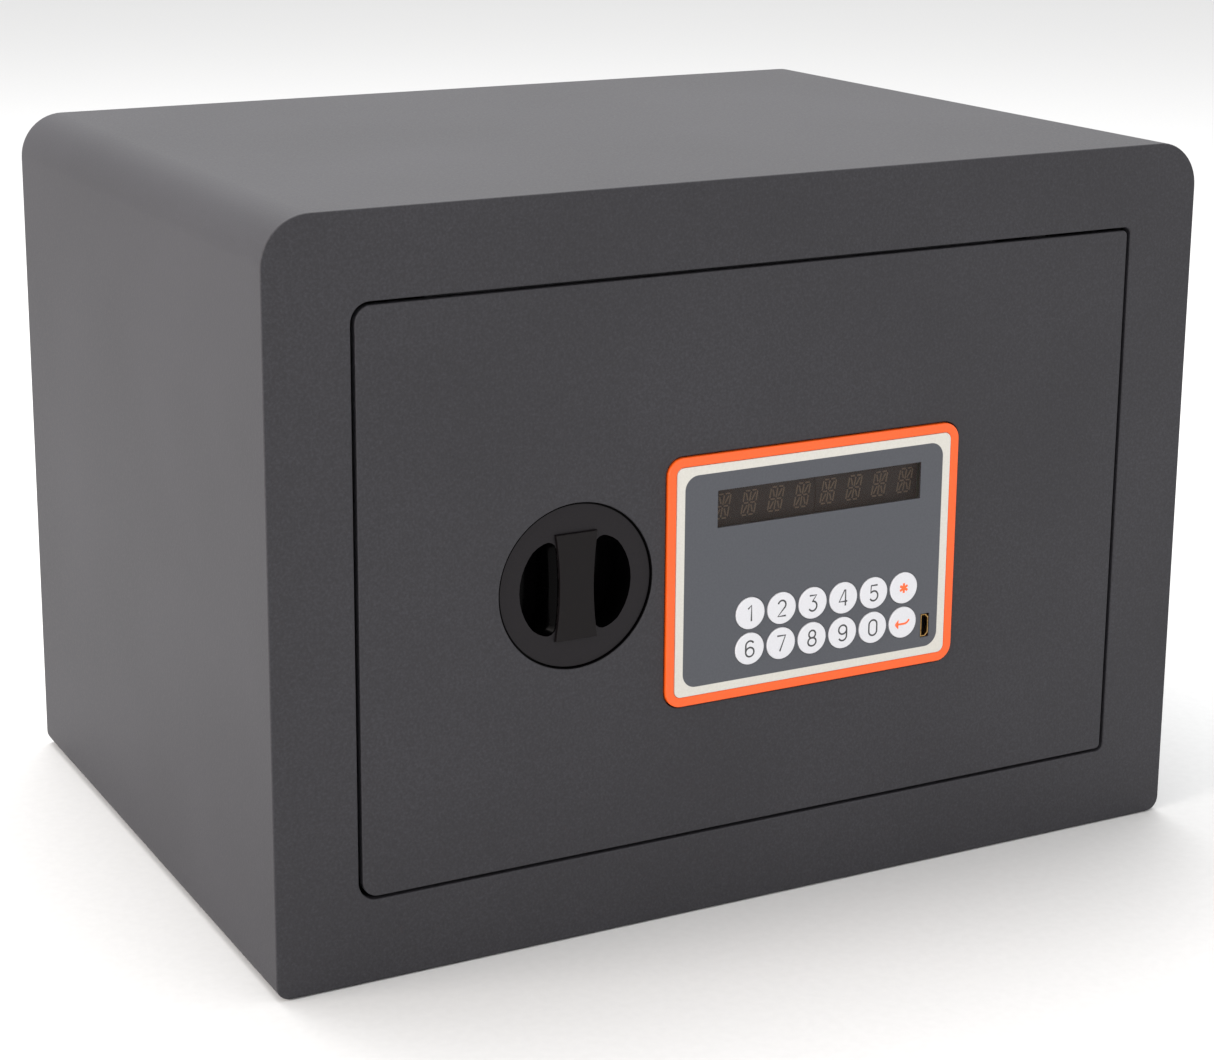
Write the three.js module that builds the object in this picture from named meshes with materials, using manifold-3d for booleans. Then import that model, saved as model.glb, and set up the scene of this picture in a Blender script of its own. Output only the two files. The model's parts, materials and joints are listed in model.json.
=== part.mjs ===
// In-room safe with an electronic lock, in millimetres.
// The welded steel body holds a flush door on two hidden pivots. The door carries the turning knob,
// the two round bolts, the keypad panel, the solenoid and the battery holder under a folded cover.
//
// Each part is drawn with X to the right, Z up and Y as the depth behind the front face of the body.
// The group then shifts the depth so that the origin is the middle of the base.

import * as THREE from "three";
import { mergeVertices } from "three/addons/utils/BufferGeometryUtils.js";
import Module from "manifold-3d";

// ---- Driving dimensions ----

const WIDTH = 350;
const HEIGHT = 250;
const DEPTH = 250;
const SHEET = 2;
const PLATE = 4;
const BEND_R = 16;
const FOOT_R = 5;
const GAP = 0.3;
const TINY = 0.01;

// Opening in the front frame, and the door plate in it.
const OPENING = { left: -146.5, right: 147.5, bottom: 28, top: 221.5, lockR: 6.5, hingeR: 2.5 };
const DOOR = { left: -145.2, right: 146.1, bottom: 29.1, top: 220.4, lockR: 5.5, hingeR: 1.8 };

// Vertical pivot axis of the door, measured in from its right edge and back from its face.
const PIVOT_INSET = 34;
const PIVOT_X = DOOR.right - PIVOT_INSET;
const PIVOT_Y = 9;
const PIN_R = 3;
const LUG_THICK = 4;
const LUG_HALF = 12;

// Anchor holes in the floor and the back.
const ANCHOR_R = 6;
const ANCHOR_X = 110;
const FLOOR_ANCHOR_Y = 125;
const BACK_ANCHOR_Z = 125;

// Knob and what it drives. The crank swings from one side of the vertical to the other.
const KNOB = { x: -69.4, z: 121.8, holeR: 27.8, discR: 27.1, face: 1, back: 17.4 };
const SPINDLE_R = 5;
const CRANK_R = 15;
const CRANK_PIN_R = 3;
const BOLT_TRAVEL = 15;
const CRANK_START = Math.asin(BOLT_TRAVEL / 2 / CRANK_R);

const BOLT_R = 8;
const BOLT_Y = 13;
const BOLT_OFFSET = 53;
const BOLT_TIP_X = -142;
const CARRIAGE = { left: -119, right: -46, front: 26, back: 29, half: 61.8 };

// Keypad panel. The bezel stands a little proud of the door.
const PANEL = { x: 20.4, z: 117.2, width: 114, height: 85.3, proud: 0.9, r: 5.8 };
const RIM = 3.3;
const WINDOW = { x: 22.2, z: 141, width: 80.4, height: 13.1 };
const KEY = { x: -4.7, z: 103.4, pitch: 12.26, drop: 12.4, r: 5.5, proud: 1.2 };
const USB = { x: 66.1, z: 88.5, width: 3.7, height: 8.6 };

const GUIDE_R = 3;
const SOLENOID = { x: -86, y: 27.5, bottom: 37.2, top: 57.2, half: 11 };
const BOARD = { front: 8.6, back: 10.2 };

const COVER = { left: -134.7, right: 98.5, bottom: 33.5, top: 216, inner: 36, sheet: 1.2 };
const BATTERY = { x: 40, z: 54.5, length: 50.5, r: 7.1, pitch: 14.8 };

// ---- Finishes ----

function finish(color, roughness, metalness) {
  return new THREE.MeshStandardMaterial({ color, roughness, metalness });
}

const paintedSteel = finish(0x4a494e, 0.6, 0.2);
const zincSteel = finish(0xb9bcbf, 0.4, 0.9);
const blackPlastic = finish(0x252226, 0.35, 0);
const greyPlastic = finish(0x55565a, 0.6, 0);
const orangePlastic = finish(0xfd6d37, 0.4, 0);
const printedFilm = finish(0x54555a, 0.45, 0);
const tintedAcrylic = finish(0x3c3330, 0.1, 0);
const displayResin = finish(0x2a2523, 0.35, 0);
const keyWhite = finish(0xe4e4e8, 0.45, 0);
const boardGreen = finish(0x2f6b45, 0.5, 0);
const brass = finish(0xb9965a, 0.35, 0.9);
const nylon = finish(0xe9e6dc, 0.5, 0);
const felt = finish(0x3a3a3e, 0.95, 0);
const batteryWrap = finish(0x9a9ca0, 0.4, 0.3);

// ---- Solid shapes ----

const wasm = await Module();
wasm.setup();

function toSolid(geometry) {
  const bare = geometry.clone();
  bare.deleteAttribute("normal");
  bare.deleteAttribute("uv");
  const merged = mergeVertices(bare, 1e-4);
  return new wasm.Manifold(new wasm.Mesh({
    numProp: 3,
    vertProperties: new Float32Array(merged.attributes.position.array),
    triVerts: new Uint32Array(merged.index.array),
  }));
}

function toGeometry(solid) {
  const mesh = solid.getMesh();
  const geometry = new THREE.BufferGeometry();
  geometry.setAttribute("position", new THREE.BufferAttribute(mesh.vertProperties, 3));
  geometry.setIndex(new THREE.BufferAttribute(mesh.triVerts, 1));
  geometry.computeVertexNormals();
  return geometry;
}

function cut(base, ...tools) {
  let solid = toSolid(base);
  for (const tool of tools) solid = solid.subtract(toSolid(tool));
  return toGeometry(solid);
}

function join(base, ...others) {
  let solid = toSolid(base);
  for (const other of others) solid = solid.add(toSolid(other));
  return toGeometry(solid);
}

function block(x0, x1, y0, y1, z0, z1) {
  const geometry = new THREE.BoxGeometry(x1 - x0, y1 - y0, z1 - z0);
  geometry.translate((x0 + x1) / 2, (y0 + y1) / 2, (z0 + z1) / 2);
  return geometry;
}

function rodX(r, x0, x1, y, z, sides = 24) {
  const geometry = new THREE.CylinderGeometry(r, r, x1 - x0, sides);
  geometry.rotateZ(Math.PI / 2);
  geometry.translate((x0 + x1) / 2, y, z);
  return geometry;
}

function rodY(r, y0, y1, x, z, sides = 24) {
  const geometry = new THREE.CylinderGeometry(r, r, y1 - y0, sides);
  geometry.translate(x, (y0 + y1) / 2, z);
  return geometry;
}

function rodZ(r, z0, z1, x, y, sides = 16) {
  const geometry = new THREE.CylinderGeometry(r, r, z1 - z0, sides);
  geometry.rotateX(Math.PI / 2);
  geometry.translate(x, y, (z0 + z1) / 2);
  return geometry;
}

// Rectangle whose left and right corners may have different radii.
function rectangle(left, right, bottom, top, leftR, rightR = leftR) {
  const shape = new THREE.Shape();
  const quarter = Math.PI / 2;
  shape.moveTo(left + leftR, bottom);
  shape.lineTo(right - rightR, bottom);
  shape.absarc(right - rightR, bottom + rightR, rightR, -quarter, 0, false);
  shape.lineTo(right, top - rightR);
  shape.absarc(right - rightR, top - rightR, rightR, 0, quarter, false);
  shape.lineTo(left + leftR, top);
  shape.absarc(left + leftR, top - leftR, leftR, quarter, 2 * quarter, false);
  shape.lineTo(left, bottom + leftR);
  shape.absarc(left + leftR, bottom + leftR, leftR, 2 * quarter, 3 * quarter, false);
  return shape;
}

function centred(x, z, width, height, r) {
  return rectangle(x - width / 2, x + width / 2, z - height / 2, z + height / 2, r);
}

// Outline in the XZ plane, made solid between two depths.
function slab(shape, y0, y1, curveSegments = 4) {
  const geometry = new THREE.ExtrudeGeometry(shape, { depth: y1 - y0, bevelEnabled: false, curveSegments });
  geometry.rotateX(Math.PI / 2);
  geometry.translate(0, y1, 0);
  return geometry;
}

// ---- Assembly ----

const safe = new THREE.Group();
safe.position.y = KEY.proud - (DEPTH + KEY.proud) / 2;

function add(name, geometry, material) {
  const mesh = new THREE.Mesh(geometry, material);
  mesh.name = name;
  safe.add(mesh);
}

// ---- Body ----

// Outline of the folded body. The two upper bends are wide and the two at the base are tight.
function bodyOutline(inset) {
  const quarter = Math.PI / 2;
  const side = WIDTH / 2 - inset;
  const bend = BEND_R - inset;
  const foot = FOOT_R - inset;
  const shape = new THREE.Shape();
  shape.absarc(side - foot, FOOT_R, foot, -quarter, 0, false);
  shape.absarc(side - bend, HEIGHT - BEND_R, bend, 0, quarter, false);
  shape.absarc(bend - side, HEIGHT - BEND_R, bend, quarter, 2 * quarter, false);
  shape.absarc(foot - side, FOOT_R, foot, 2 * quarter, 3 * quarter, false);
  return shape;
}

function anchorPair(hole) {
  return [-ANCHOR_X, ANCHOR_X].map(hole);
}

function addBody() {
  const wrap = bodyOutline(0);
  wrap.holes.push(bodyOutline(SHEET));
  const floorHoles = anchorPair((x) => rodZ(ANCHOR_R, -1, SHEET + 1, x, FLOOR_ANCHOR_Y));
  add("body_wrap", cut(slab(wrap, 0, DEPTH, 6), ...floorHoles), paintedSteel);

  const frame = bodyOutline(SHEET + GAP);
  frame.holes.push(
    rectangle(OPENING.left, OPENING.right, OPENING.bottom, OPENING.top, OPENING.lockR, OPENING.hingeR),
  );
  add("front_frame", slab(frame, 0, PLATE), paintedSteel);

  const backHoles = anchorPair((x) => rodY(ANCHOR_R, DEPTH - 5, DEPTH + 1, x, BACK_ANCHOR_Z));
  const back = slab(bodyOutline(SHEET + GAP), DEPTH - SHEET, DEPTH);
  add("back_plate", cut(back, ...backHoles), paintedSteel);
}

// The mat lies on the floor, inside the bends, and is cut out round the anchor holes.
function addFloorMat() {
  const half = WIDTH / 2 - FOOT_R - SHEET;
  const under = SHEET + GAP;
  const thick = 2;
  const mat = block(-half, half, 14, DEPTH - 8, under, under + thick);
  const holes = anchorPair((x) => rodZ(10, 0, 10, x, FLOOR_ANCHOR_Y));
  add("floor_mat", cut(mat, ...holes), felt);
}

function addDoorStop(name, edgeZ, side) {
  const lap = 4.5;
  const hold = 7;
  const z0 = Math.min(edgeZ + side * lap, edgeZ - side * hold);
  const strip = block(-120, 92, PLATE + GAP, PLATE + GAP + 3, z0, z0 + lap + hold);
  add(name, strip, paintedSteel);
}

// ---- Hinges ----

// side is 1 at the top of the door and -1 at the bottom.
function addHinge(place, side, doorEdge, openingEdge) {
  const level = (z0, z1) => [Math.min(z0, z1), Math.max(z0, z1)];
  const [lug0, lug1] = level(doorEdge - side * 2.4, doorEdge - side * (2.4 + LUG_THICK));
  const [ear0, ear1] = level(openingEdge + side * 3.5, openingEdge + side * (3.5 + LUG_THICK));
  const bore = rodZ(PIN_R + GAP, 0, HEIGHT, PIVOT_X, PIVOT_Y);
  const front = PLATE + GAP;
  const left = PIVOT_X - LUG_HALF;
  const right = PIVOT_X + LUG_HALF;

  add(`hinge_lug_${place}`, cut(block(left, right, front, 17, lug0, lug1), bore), zincSteel);
  add(`hinge_bracket_${place}`, cut(block(left, right, front, 22, ear0, ear1), bore), paintedSteel);

  const bushIn = side > 0 ? lug1 + GAP : lug0 - GAP;
  const bushOut = side > 0 ? ear0 - GAP : ear1 + GAP;
  const bush = rodZ(4.6, ...level(bushIn, bushOut), PIVOT_X, PIVOT_Y);
  add(`hinge_bush_${place}`, cut(bush, bore), nylon);

  const headNear = side > 0 ? lug0 - GAP : lug1 + GAP;
  const head = rodZ(4.5, ...level(headNear, headNear - side * 2), PIVOT_X, PIVOT_Y);
  const tip = side > 0 ? ear1 + 2 : ear0 - 2;
  const shank = rodZ(PIN_R, ...level(headNear - side, tip), PIVOT_X, PIVOT_Y);
  add(`hinge_pin_${place}`, join(head, shank), zincSteel);
}

// ---- Door plate and cover ----

// The lower right fixing sits above the battery holder.
function coverCorners() {
  const inset = 9;
  const nearLock = COVER.left + inset + 6;
  const nearHinge = COVER.right - inset;
  const high = COVER.top - inset;
  return [[nearLock, high], [nearHinge, high], [nearLock, COVER.bottom + inset], [nearHinge, BATTERY.z + 30]];
}

// Each cover post is a hollow welded post with a blind thread for its screw.
function addDoorPlate() {
  const outline = rectangle(DOOR.left, DOOR.right, DOOR.bottom, DOOR.top, DOOR.lockR, DOOR.hingeR);
  const knobHole = new THREE.Path();
  knobHole.absarc(KNOB.x, KNOB.z, KNOB.holeR, 0, 2 * Math.PI, false);
  const panelHole = centred(PANEL.x, PANEL.z, PANEL.width + 0.8, PANEL.height + 0.8, PANEL.r + 0.4);
  outline.holes.push(knobHole, panelHole);
  const posts = coverCorners().map(([x, z]) => rodY(4, PLATE - 1, COVER.inner - GAP, x, z, 12));
  const threads = coverCorners().map(([x, z]) => rodY(2.3, COVER.inner - 12, COVER.inner + 1, x, z, 8));
  const plate = join(slab(outline, 0, PLATE, 8), ...posts);
  add("door_plate", cut(plate, ...threads), paintedSteel);
}

// Tray open towards the door and at the lock edge, with a window over the batteries.
function addCover() {
  const { left, right, bottom, top, inner, sheet } = COVER;
  const outside = block(left, right, PLATE + GAP, inner + sheet, bottom, top);
  const inside = block(left - 1, right - sheet, 0, inner, bottom + sheet, top - sheet);
  const lidHole = block(...lidSpan(GAP), inner - 1, inner + sheet + 1, ...lidRise(GAP));
  const screwHoles = coverCorners().map(([x, z]) => rodY(2.5, inner - 1, inner + 3, x, z, 12));
  add("door_inner_cover", cut(outside, inside, lidHole, ...screwHoles), paintedSteel);

  coverCorners().forEach(([x, z], index) => {
    const seat = inner + sheet + GAP;
    const head = rodY(4, seat, seat + 2.2, x, z, 20);
    const shank = rodY(2, inner - 8, seat + 1, x, z, 12);
    const slot = block(x - 3, x + 3, seat + 1.4, seat + 3, z - 0.5, z + 0.5);
    add(`cover_screw_${index + 1}`, cut(join(head, shank), slot), zincSteel);
  });
}

// ---- Knob and bolt work ----

// Half width of the grip bar at a height above the middle: it is waisted.
function barHalf(z, waist, flare) {
  return waist + flare * (z / 16) ** 2;
}

// Finger pocket: a waisted inner side, an outer arc, and eased tips.
function pocketShape(side, outerR, waist, tipZ) {
  const steps = 10;
  const points = [];
  for (let i = 0; i <= steps; i += 1) {
    const z = -tipZ + (2 * tipZ * i) / steps;
    points.push(new THREE.Vector2(side * barHalf(z, waist, 1.1), z));
  }
  const reach = Math.asin((tipZ + 1) / outerR);
  for (let i = 0; i <= steps; i += 1) {
    const angle = reach - (2 * reach * i) / steps;
    points.push(new THREE.Vector2(side * outerR * Math.cos(angle), outerR * Math.sin(angle)));
  }
  if (side > 0) points.reverse();
  return new THREE.Shape(points.map((p) => p.add(new THREE.Vector2(KNOB.x, KNOB.z))));
}

function capShape(grow) {
  const rise = 17.8 + grow;
  const steps = 8;
  const side = (sign) => Array.from({ length: steps + 1 }, (_, i) => {
    const z = sign * (-rise + (2 * rise * i) / steps);
    return new THREE.Vector2(KNOB.x + sign * (barHalf(z, 6, 1.4) + grow), KNOB.z + z);
  });
  return new THREE.Shape([...side(1), ...side(-1)]);
}

function addKnob() {
  const disc = rodY(KNOB.discR, KNOB.face, KNOB.back, KNOB.x, KNOB.z, 64);
  const pockets = [-1, 1].map((side) => slab(pocketShape(side, 20.2, 7, 14), KNOB.face - 1, 14));
  const capSeat = slab(capShape(GAP), KNOB.face - 1, 5);
  const bore = rodY(SPINDLE_R + GAP, 11, KNOB.back + 1, KNOB.x, KNOB.z, 24);
  add("knob_body", cut(disc, ...pockets, capSeat, bore), blackPlastic);
  add("knob_cap", slab(capShape(0), -0.2, 5 - GAP), blackPlastic);

  const crankFront = 20.8;
  const crankBack = 23.8;
  const spindle = rodY(SPINDLE_R, 11 + GAP, crankBack + 1.8, KNOB.x, KNOB.z, 24);
  const groove = cut(
    rodY(SPINDLE_R + 1, crankBack + GAP, crankBack + 1.5, KNOB.x, KNOB.z, 24),
    rodY(SPINDLE_R - 1, crankBack, crankBack + 2, KNOB.x, KNOB.z, 24),
  );
  add("knob_spindle", cut(spindle, groove), zincSteel);

  const web = rodY(20, crankFront, crankBack, KNOB.x, KNOB.z, 32);
  const pinX = KNOB.x + CRANK_R * Math.sin(CRANK_START);
  const pinZ = KNOB.z + CRANK_R * Math.cos(CRANK_START);
  const pin = rodY(CRANK_PIN_R, crankFront + 1, CARRIAGE.back + 2, pinX, pinZ, 20);
  const hub = rodY(SPINDLE_R + GAP, crankFront - 1, crankBack + 1, KNOB.x, KNOB.z, 24);
  add("knob_crank", cut(join(web, pin), hub), zincSteel);

  const clipFront = crankBack + 0.45;
  const ring = rodY(8, clipFront, clipFront + 0.8, KNOB.x, KNOB.z, 24);
  const ringBore = rodY(SPINDLE_R - 0.7, clipFront - 1, clipFront + 2, KNOB.x, KNOB.z, 24);
  const mouth = block(KNOB.x - 3, KNOB.x + 3, clipFront - 1, clipFront + 2, KNOB.z - 10, KNOB.z);
  add("spindle_clip", cut(ring, ringBore, mouth), zincSteel);

  const cup = rodY(31.2, PLATE + GAP, 20.5, KNOB.x, KNOB.z, 48);
  const well = rodY(KNOB.discR + 0.7, 0, KNOB.back + 0.5, KNOB.x, KNOB.z, 48);
  const spindleHole = rodY(SPINDLE_R + GAP, 10, 30, KNOB.x, KNOB.z, 24);
  add("knob_housing", cut(cup, well, spindleHole), greyPlastic);
}

// Folded carriage plate: a tab carries each bolt, slots run on the guide posts, an upright slot takes
// the crank pin, and the two notches in the lower edge take the solenoid plunger at either end of the travel.
function addBoltWork() {
  const { left, right, front, back, half } = CARRIAGE;
  const low = KNOB.z - half;
  const high = KNOB.z + half;
  const tabX = -96;
  let carriage = block(left, right, front, back, low, high);
  for (const side of [-1, 1]) {
    const z = KNOB.z + side * BOLT_OFFSET;
    carriage = join(carriage, block(tabX, tabX + 3, 5, back - 1, z - 8.5, z + 8.5));
    const bolt = rodX(BOLT_R, BOLT_TIP_X, tabX - GAP, BOLT_Y, z);
    add(side > 0 ? "bolt_upper" : "bolt_lower", bolt, zincSteel);
  }
  const slots = guidePosts().map(([x, z]) => {
    const r = GUIDE_R + GAP;
    return slab(rectangle(x - r, x + BOLT_TRAVEL + r, z - r, z + r, r - TINY), front - 1, back + 1);
  });
  const pinX = KNOB.x + BOLT_TRAVEL / 2;
  const slotHalf = CRANK_PIN_R + 0.4;
  const slotLow = KNOB.z + CRANK_R * Math.cos(CRANK_START) - slotHalf - 0.6;
  const slotHigh = KNOB.z + CRANK_R + slotHalf + 0.6;
  const crankSlot = slab(
    rectangle(pinX - slotHalf, pinX + slotHalf, slotLow, slotHigh, slotHalf - TINY),
    front - 1,
    back + 1,
  );
  const notches = [0, BOLT_TRAVEL].map((shift) => {
    const x = SOLENOID.x + shift;
    return block(x - 3.5, x + 3.5, front - 1, back + 1, low - 1, low + 6);
  });
  add("bolt_carriage", cut(carriage, ...slots, crankSlot, ...notches), zincSteel);
}

function guidePosts() {
  return [-37, 37].map((offset) => [-112, KNOB.z + offset]);
}

// Angle welded behind the lock edge: the flange guides the bolts and the foot holds the guide posts.
function addBoltGuide() {
  const low = KNOB.z - 74;
  const high = KNOB.z + 74;
  const flange = block(-138, -135, PLATE + GAP, 33, low, high);
  const foot = block(-138, -106, PLATE + GAP, PLATE + GAP + 2.5, low, high);
  const posts = guidePosts().map(([x, z]) => rodY(GUIDE_R, PLATE + 1, CARRIAGE.back + 2, x, z, 20));
  const holes = [-1, 1].flatMap((side) => {
    const z = KNOB.z + side * BOLT_OFFSET;
    return [
      rodX(BOLT_R + 0.35, -150, -130, BOLT_Y, z),
      block(-136, -100, BOLT_Y - BOLT_R - 3, BOLT_Y, z - BOLT_R - 1, z + BOLT_R + 1),
    ];
  });
  add("bolt_guide", join(cut(join(flange, foot), ...holes), ...posts), zincSteel);
}

// ---- Solenoid ----

function addSolenoid() {
  const { x, y, bottom, top, half } = SOLENOID;
  const bodyFront = 20;
  const coil = block(x - half, x + half, bodyFront, 35, bottom, top);
  add("solenoid_body", cut(coil, rodZ(PIN_R + GAP, bottom + 6, top + 1, x, y)), zincSteel);
  const foot = block(x - half, x + half, PLATE + GAP, PLATE + 2, bottom - 2, top - 2);
  const shelf = block(x - half, x + half, PLATE + GAP, 34, bottom - 2.2, bottom - GAP);
  add("solenoid_bracket", join(foot, shelf), zincSteel);
  const plungerTip = KNOB.z - CARRIAGE.half - 0.5;
  add("solenoid_plunger", rodZ(PIN_R, bottom + 8, plungerTip, x, y), zincSteel);
}

// ---- Keypad panel ----

function addPanel() {
  const { x, z, width, height, proud, r } = PANEL;
  const face = -proud;
  const filmWidth = width - 2 * RIM;
  const filmHeight = height - 2 * RIM;
  const filmFace = face + 0.1;
  const filmBack = filmFace + 0.8;
  const bezel = slab(centred(x, z, width, height, r), face, PLATE);
  const seat = centred(x, z, filmWidth + 2 * GAP, filmHeight + 2 * GAP, 2.8);
  const recess = slab(seat, face - 1, filmBack + GAP);
  const through = slab(centred(x, z, filmWidth - 9, filmHeight - 9, 2), face - 1, PLATE + 1);
  add("panel_bezel", cut(bezel, recess, through), orangePlastic);

  const film = slab(centred(x, z, filmWidth, filmHeight, 2.5), filmFace, filmBack);
  const keyHoles = keyPlaces().map((key) => rodY(KEY.r + GAP, face - 1, 5, key.x, key.z, 20));
  const glassHole = block(
    WINDOW.x - WINDOW.width / 2, WINDOW.x + WINDOW.width / 2, face - 1, 5,
    WINDOW.z - WINDOW.height / 2, WINDOW.z + WINDOW.height / 2,
  );
  const portHole = block(
    USB.x - USB.width / 2, USB.x + USB.width / 2, face - 1, 5,
    USB.z - USB.height / 2, USB.z + USB.height / 2,
  );
  add("panel_overlay", cut(film, glassHole, portHole, ...keyHoles), printedFilm);
}

function addDisplay() {
  const halfW = WINDOW.width / 2 - GAP;
  const halfH = WINDOW.height / 2 - GAP;
  const glassFace = 0.1 - PANEL.proud;
  add("display_window", block(
    WINDOW.x - halfW, WINDOW.x + halfW, glassFace, glassFace + 1.2, WINDOW.z - halfH, WINDOW.z + halfH,
  ), tintedAcrylic);
  const moduleFace = glassFace + 3.8;
  const moduleWidth = 41.2;
  for (const side of [-1, 1]) {
    const near = WINDOW.x + side * GAP / 2;
    const far = near + side * (moduleWidth - GAP);
    const module = block(
      Math.min(near, far), Math.max(near, far), moduleFace, BOARD.front - GAP, WINDOW.z - 8.5, WINDOW.z + 8.5,
    );
    add(side < 0 ? "display_module_left" : "display_module_right", module, displayResin);
  }
}

function addElectronics() {
  const { x, z } = PANEL;
  add("keypad_board", block(x - 50, x + 50, BOARD.front, BOARD.back, z - 36, z + 36), boardGreen);

  const shellBack = 28;
  const flange = slab(centred(x, z, 116, 90, 3), PLATE + GAP, PLATE + GAP + 2);
  const shell = slab(centred(x, z, 112, 83, 3), PLATE + GAP, shellBack);
  const hollow = slab(centred(x, z, 108, 79, 2), 0, shellBack - 2);
  const cableHole = rodX(3, x - 60, x - 50, 20, z - 30, 16);
  add("lock_housing", cut(join(flange, shell), hollow, cableHole), greyPlastic);

  const wall = 0.4;
  const halfW = USB.width / 2 - GAP;
  const halfH = USB.height / 2 - GAP;
  const mouth = -PANEL.proud + 0.3;
  const can = block(USB.x - halfW, USB.x + halfW, mouth, BOARD.front - GAP, USB.z - halfH, USB.z + halfH);
  const socket = block(
    USB.x - halfW + wall, USB.x + halfW - wall, mouth - 1, 6,
    USB.z - halfH + wall, USB.z + halfH - wall,
  );
  add("usb_socket", cut(can, socket), brass);
}

function keyPlaces() {
  const rows = [["1", "2", "3", "4", "5", "star"], ["6", "7", "8", "9", "0", "enter"]];
  return rows.flatMap((names, row) => names.map((name, column) => (
    { name, x: KEY.x + KEY.pitch * column, z: KEY.z - KEY.drop * row }
  )));
}

// Round cap on a stem that reaches its switch on the board.
function addKeys() {
  const travelRoom = 0.9;
  for (const key of keyPlaces()) {
    const cap = rodY(KEY.r, -KEY.proud, 1.2, key.x, key.z, 20);
    const stem = rodY(2, 1, BOARD.front - travelRoom, key.x, key.z, 8);
    add(`key_${key.name}`, join(cap, stem), keyWhite);
  }
}

// ---- Batteries ----

function batteryPlaces() {
  return [-1, 1].flatMap((row) => [-1, 1].map((side) => (
    { x: BATTERY.x + side * (BATTERY.length / 2 + 1), z: BATTERY.z + (row * BATTERY.pitch) / 2 }
  )));
}

function lidSpan(grow) {
  const half = BATTERY.length + 3.5;
  return [BATTERY.x - half - grow, BATTERY.x + half + grow];
}

function lidRise(grow) {
  const half = BATTERY.pitch + 2;
  return [BATTERY.z - half - grow, BATTERY.z + half + grow];
}

function addBatteries() {
  const floor = 16;
  const wall = 1.6;
  const [x0, x1] = lidSpan(0);
  const [z0, z1] = lidRise(0);
  const middle = floor + wall + GAP + BATTERY.r;
  const tray = block(x0, x1, floor, COVER.inner - GAP, z0, z1);
  const well = block(x0 + wall, x1 - wall, floor + wall, COVER.inner + 1, z0 + wall, z1 - wall);
  add("battery_holder", cut(tray, well), blackPlastic);
  batteryPlaces().forEach(({ x, z }, index) => {
    const side = x < BATTERY.x ? -1 : 1;
    const cell = rodX(BATTERY.r, x - BATTERY.length / 2 + 1, x + BATTERY.length / 2 - 1, middle, z, 24);
    const end = x + side * (BATTERY.length / 2 - 1);
    const stud = rodX(2.6, Math.min(end - side, end + side), Math.max(end - side, end + side), middle, z, 12);
    add(`battery_${index + 1}`, join(cell, stud), batteryWrap);
  });

  const panel = block(x0, x1, COVER.inner + TINY, COVER.inner + COVER.sheet + 0.8, z0, z1);
  const ribs = [-1, 0, 1].map((step) => {
    const x = x1 - 10 + 3 * step;
    const crest = COVER.inner + COVER.sheet + 1.8;
    return block(x - 0.7, x + 0.7, COVER.inner + 1, crest, BATTERY.z - 9, BATTERY.z + 9);
  });
  add("battery_lid", join(panel, ...ribs), greyPlastic);
}

addBody();
addFloorMat();
addDoorStop("door_stop_top", OPENING.top, -1);
addDoorStop("door_stop_bottom", OPENING.bottom, 1);
addHinge("top", 1, DOOR.top, OPENING.top);
addHinge("bottom", -1, DOOR.bottom, OPENING.bottom);
addDoorPlate();
addCover();
addKnob();
addBoltWork();
addBoltGuide();
addSolenoid();
addPanel();
addDisplay();
addElectronics();
addKeys();
addBatteries();

export default safe;
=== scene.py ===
import json
import math

import bmesh
import bpy
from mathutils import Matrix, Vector


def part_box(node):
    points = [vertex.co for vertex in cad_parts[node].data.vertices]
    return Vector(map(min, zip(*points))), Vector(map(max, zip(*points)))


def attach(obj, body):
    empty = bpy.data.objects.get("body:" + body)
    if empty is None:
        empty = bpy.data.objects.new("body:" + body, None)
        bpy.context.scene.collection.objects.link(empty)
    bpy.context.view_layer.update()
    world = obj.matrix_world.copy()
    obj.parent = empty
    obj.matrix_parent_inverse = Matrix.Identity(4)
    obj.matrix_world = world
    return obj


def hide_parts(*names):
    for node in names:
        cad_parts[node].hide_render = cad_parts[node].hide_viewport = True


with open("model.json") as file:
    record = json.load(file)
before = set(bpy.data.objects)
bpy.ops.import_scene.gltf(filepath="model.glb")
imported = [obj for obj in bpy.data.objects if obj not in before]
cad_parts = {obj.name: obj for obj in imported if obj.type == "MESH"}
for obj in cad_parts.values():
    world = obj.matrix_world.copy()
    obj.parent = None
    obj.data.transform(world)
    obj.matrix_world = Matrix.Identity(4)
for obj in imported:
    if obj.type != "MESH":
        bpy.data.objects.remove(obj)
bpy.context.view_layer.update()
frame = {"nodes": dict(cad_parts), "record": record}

bpy.ops.object.select_all(action="DESELECT")

# ---- Welded body ----
# The wrap and the front frame are one welded box of folded sheet steel. The seams are ground flush
# and the whole is powder coated, so no joint shows outside. The opening is laser cut.

MM = 0.001
body_low, body_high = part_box("body_wrap")
front_y = body_low.y
SHEET = 2.0
PLATE = 4.0
BEND_R = 16.0
FOOT_R = 5.0
OPENING = {"left": -146.5, "right": 147.5, "bottom": 28.0, "top": 221.5, "lock_r": 6.5, "hinge_r": 2.5}
ANCHOR_R = 6.0
ANCHOR_X = (-110, 110)
ANCHOR_Y = 0.6


def at(x, depth, z):
    """A point from millimetres: x to the right, depth behind the front face, z up."""
    return Vector((x * MM, front_y + depth * MM, z * MM))


def block(name, low, high):
    """A box between two corners, with its place in its mesh."""
    bpy.ops.mesh.primitive_cube_add(size=1, location=(low + high) / 2)
    piece = bpy.context.object
    piece.name = name
    piece.scale = high - low
    bpy.ops.object.transform_apply(location=True, rotation=True, scale=True)
    return piece


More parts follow.
